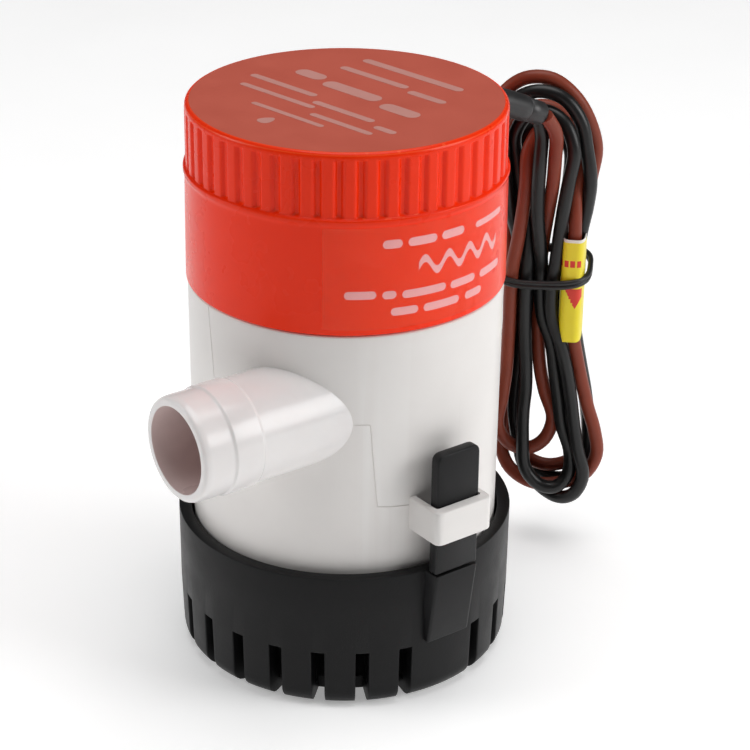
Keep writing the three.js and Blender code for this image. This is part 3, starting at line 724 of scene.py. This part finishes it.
def makeCap():
    ledge = cap["ledge"]
    levels = (98.2, 98.35, 98.6, 99.0, 101.4, 103.8, 106.2, 107.8, 108.3, 108.5, 108.65)
    profile = rounded([
        (cap["bore"], cap["foot"][1], 0), (cap["foot"][0], cap["foot"][1], 0.25), (29.62, 96.6, 0.6),
        (29.78, 96.95, 0.2), (ledge[0], ledge[1], 0.15), (29.82, 97.85, 0.1), (29.5, 98.02, 0.1),
        (cap["tip"], 98.1, 0)])
    profile += [(cap["tip"], z) for z in levels]
    profile += rounded([
        (cap["tip"], 108.72, 0), (29.36, 109.3, 0.3), (29.05, 109.86, 0.4), (28.55, cap["top"], 0.2),
        (27.5, cap["top"], 0)])
    profile += [(r, cap["top"]) for r in (24, 16, 8, 0)]
    inner = rounded([(0, cap["roof"], 0), (cap["bore"], cap["roof"], 1.4), (cap["bore"], cap["foot"][1], 0)])
    bm = bmesh.new()
    spinEdges(bm, profile, steps=cap["ribs"] * cap["steps"])
    spinEdges(bm, inner, steps=cap["ribs"] * cap["steps"])
    bmesh.ops.remove_doubles(bm, verts=bm.verts, dist=0.002 * mm)
    depth = cap["tip"] - cap["root"]
    for vert in bm.verts:
        x, y, z = vert.co / mm
        r = math.hypot(x, y)
        if r > 28.5 and z > cap["ribFoot"]:
            fade = min(1, max(0, (cap["ribTop"] - z) / 0.12)) * min(1, max(0, (z - cap["ribFoot"]) / 0.25))
            drop = depth * fade * (1 - ribHeight(math.atan2(y, x)))
            vert.co.x *= (r - drop) / r
            vert.co.y *= (r - drop) / r
    # the flat top takes the second finish, whose paler colour is painted sheen
    for face in bm.faces:
        spot = face.calc_center_median() / mm
        face.material_index = 1 if spot.z > cap["top"] - 0.01 and math.hypot(spot.x, spot.y) < 28.5 else 0
    piece = newPiece("motor_cap_moulded", bm, [absOrange, absOrangePaintedTop], 38)
    r = cap["hole"]["radius"]
    hole = spunPiece("hole", [(0, 0), (r, 0), (r, 12), (0, 12)], [absOrange], 48, closed=False)
    hole.data.transform(
        Matrix.Translation((0, cap["hole"]["start"] * mm, cap["hole"]["height"] * mm))
        @ Matrix.Rotation(math.radians(-90), 4, "X"))
    combine(piece, hole, "DIFFERENCE")
    piece.data.set_sharp_from_angle(angle=math.radians(38))
    return piece


finishPiece(makeCap(), "pump", ["motor_cap"])
print("motor cap made")

# ---- generic print on the cap: bars, a ripple and a drop, no lettering ----
bandPrint = {
    "foot": (29.8, 76.5), "lean": 0.009, "thick": 0.05,
    # start and end angle from -Y towards +X in degrees, height, half width
    "bars": [(66, 73, 93.2, 0.8), (75, 86, 93.2, 0.8), (88, 98, 93.2, 0.8),
             (104, 122, 93.0, 0.6),
             (53, 64, 83.9, 0.75), (66, 71, 83.7, 0.75), (73, 90, 83.5, 0.75), (92, 104, 83.3, 0.75),
             (107, 121, 83.1, 0.75),
             (69, 79, 80.4, 0.75), (81, 96, 80.3, 0.75), (99, 108, 80.2, 0.75)],
    "ripple": {"start": 79, "end": 118, "height": 88.4, "swing": 1.3, "waves": 4, "half": 0.75},
}


def bandPatch(bm, middleLine):
    # rows of (angle, low, high) laid on the cap's band as a thin raised strip
    rows = []
    for angle, low, high in middleLine:
        way = math.radians(angle - 90)
        pair = []
        for z in (low, high):
            r = bandPrint["foot"][0] - (z - bandPrint["foot"][1]) * bandPrint["lean"]
            pair.append(bm.verts.new((r * math.cos(way) * mm, r * math.sin(way) * mm, z * mm)))
        rows.append(pair)
    for a, b in zip(rows, rows[1:]):
        bm.faces.new((a[0], b[0], b[1], a[1]))


def makeBandPrint():
    bm = bmesh.new()
    perDegree = bandPrint["foot"][0] * math.pi / 180
    for start, end, height, wide in bandPrint["bars"]:
        line = []
        steps = max(10, int((end - start) * 2))
        for i in range(steps + 1):
            angle = start + (end - start) * i / steps
            near = min(angle - start, end - angle) * perDegree
            rise = wide * math.sqrt(max(0.02, 1 - max(0, 1 - near / wide) ** 2))
            line.append((angle, height - rise, height + rise))
        bandPatch(bm, line)
    ripple = bandPrint["ripple"]
    line = []
    for i in range(121):
        t = i / 120
        angle = ripple["start"] + (ripple["end"] - ripple["start"]) * t
        middle = ripple["height"] + ripple["swing"] * math.sin(2 * math.pi * ripple["waves"] * t)
        line.append((angle, middle - ripple["half"], middle + ripple["half"]))
    bandPatch(bm, line)
    bmesh.ops.recalc_face_normals(bm, faces=bm.faces)
    bmesh.ops.solidify(bm, geom=bm.faces, thickness=-bandPrint["thick"] * mm)
    return newPiece("cap_band_print", bm, [inkPale], 50)


finishPiece(makeBandPrint(), "pump")

filmLabel = {"start": 45.7, "end": 124, "bottom": 77.3, "top": 96.4, "lift": 0.07, "thick": 0.05}


def makeFilm():
    # the clear label over the print, wrapped part of the way round
    bm = bmesh.new()
    foot, lean = bandPrint["foot"], bandPrint["lean"]
    heights = (filmLabel["bottom"], filmLabel["top"])
    inner = [(foot[0] - (z - foot[1]) * lean + filmLabel["lift"], z) for z in heights]
    outer = [(r + filmLabel["thick"], z) for r, z in reversed(inner)]
    sweep = filmLabel["end"] - filmLabel["start"]
    spinEdges(bm, inner + outer, filmLabel["start"] - 90, sweep, 80, closed=True)
    bmesh.ops.remove_doubles(bm, verts=bm.verts, dist=0.002 * mm)
    bmesh.ops.holes_fill(bm, edges=[edge for edge in bm.edges if edge.is_boundary], sides=4)
    return newPiece("cap_label_film", bm, [filmClear], 40)


finishPiece(makeFilm(), "pump")

topPrint = {
    "height": 110.0, "lift": 0.005, "thick": 0.03, "turn": 9.0,
    # middle x and y, length, half width
    "bars": [(-3.0, 17.2, 25, 1.0), (-6, 10.6, 17, 0.9), (8.5, 11.6, 9, 0.9),
             (-14, 2.0, 7, 1.6), (-2, 2.6, 14, 1.6), (11.5, 3.2, 9, 1.6),
             (-12, -5.6, 17, 0.8), (6, -5.2, 15, 0.8), (18, -5.0, 5, 0.8),
             (-8, -9.8, 19, 0.7), (11, -9.4, 15, 0.7), (1.5, -14.2, 18, 0.6)],
    "drop": (1.9, -18.9, 1.3),
}


def makeTopPrint():
    bm = bmesh.new()
    z = (topPrint["height"] + topPrint["lift"]) * mm
    turn = math.radians(topPrint["turn"])
    for x, y, length, wide in topPrint["bars"]:
        outline = []
        for end in (1, -1):
            for i in range(9):
                angle = math.pi * (i / 8 - 0.5) + (0 if end > 0 else math.pi)
                outline.append((end * (length / 2 - wide) + wide * math.cos(angle), wide * math.sin(angle)))
        bm.faces.new([bm.verts.new((
            (x + a * math.cos(turn) - b * math.sin(turn)) * mm,
            (y + a * math.sin(turn) + b * math.cos(turn)) * mm, z)) for a, b in outline])
    x, y, size = topPrint["drop"]
    angles = [2 * math.pi * i / 24 for i in range(24)]
    bm.faces.new([bm.verts.new((
        (x + size * math.cos(angle) * (1 - 0.35 * math.sin(angle))) * mm,
        (y + size * math.sin(angle) * 1.3) * mm, z)) for angle in angles])
    bmesh.ops.recalc_face_normals(bm, faces=bm.faces)
    for face in bm.faces:
        if face.normal.z < 0:
            face.normal_flip()
    bmesh.ops.solidify(bm, geom=bm.faces, thickness=-topPrint["thick"] * mm)
    return newPiece("cap_top_print", bm, [inkFaded], 50)


finishPiece(makeTopPrint(), "pump")
print("print made")

# ---- carried-over nodes ----
carried = {
    "cap_o_ring": rubberBlack, "shaft_seal": rubberBlack,
    "intake_plate": absWhite, "impeller": absWhite,
    "plate_screw_1": steelBright, "plate_screw_2": steelBright, "plate_screw_3": steelBright,
    "motor_pod": nylonBlack, "end_bell": nylonBlack, "motor_can": steelPlated, "shaft": steelBright,
    "lower_bearing": bronzeSintered, "upper_bearing": bronzeSintered,
    "magnet_right": ferrite, "magnet_left": ferrite,
    "armature_core": laminations, "armature_winding": copperEnamelled, "commutator": copperBright,
    "brush_1": carbon, "brush_2": carbon, "brush_spring_1": copperBright, "brush_spring_2": copperBright,
    "inner_lead_brown": wireBrown, "inner_lead_black": wireBlack,
}
for nodeName, finish in carried.items():
    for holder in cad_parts[nodeName].material_slots:
        holder.material = finish
print("carried-over nodes finished")

# ---- floor and light ----
studio = {
    "floor": 1.6,
    "lights": [
        # place, aim, size, watts
        ((0.62, 0.50, 0.40), (0, 0, 0.06), 0.5, 3.6),
        ((-0.50, -0.72, 0.45), (0, 0, 0.06), 0.5, 2.6),
        ((0.0, 0.1, 1.1), (0, 0, 0.0), 0.9, 6.4),
    ],
    "sky": 0.09,
}
bpy.context.scene.view_settings.view_transform = "Standard"
bm = bmesh.new()
bmesh.ops.create_grid(bm, x_segments=1, y_segments=1, size=studio["floor"])
bmesh.ops.translate(bm, verts=bm.verts, vec=(0, 0, -0.0002))
floorFinish = makeMaterial(
    "lit acrylic table, pale", "#FBFBFB", "#F8F8F8", 0.8, 3, 0.01, patch=40,
    **{"Emission Color": (1, 1, 1, 1), "Emission Strength": 0.3})
floor = newPiece("floor", bm, [floorFinish])

for number, (place, aim, size, watts) in enumerate(studio["lights"]):
    lamp = bpy.data.lights.new(f"soft_{number}", "AREA")
    lamp.shape = "DISK"
    lamp.size = size
    lamp.energy = watts
    holder = bpy.data.objects.new(lamp.name, lamp)
    bpy.context.scene.collection.objects.link(holder)
    holder.matrix_world = Matrix.Translation(place) @ (
        Vector(aim) - Vector(place)).to_track_quat("-Z", "Y").to_matrix().to_4x4()

world = bpy.data.worlds.new("studio")
bpy.context.scene.world = world
world.use_nodes = True
world.node_tree.nodes["Background"].inputs["Color"].default_value = (1, 1, 1, 1)
world.node_tree.nodes["Background"].inputs["Strength"].default_value = studio["sky"]
print("stage set")
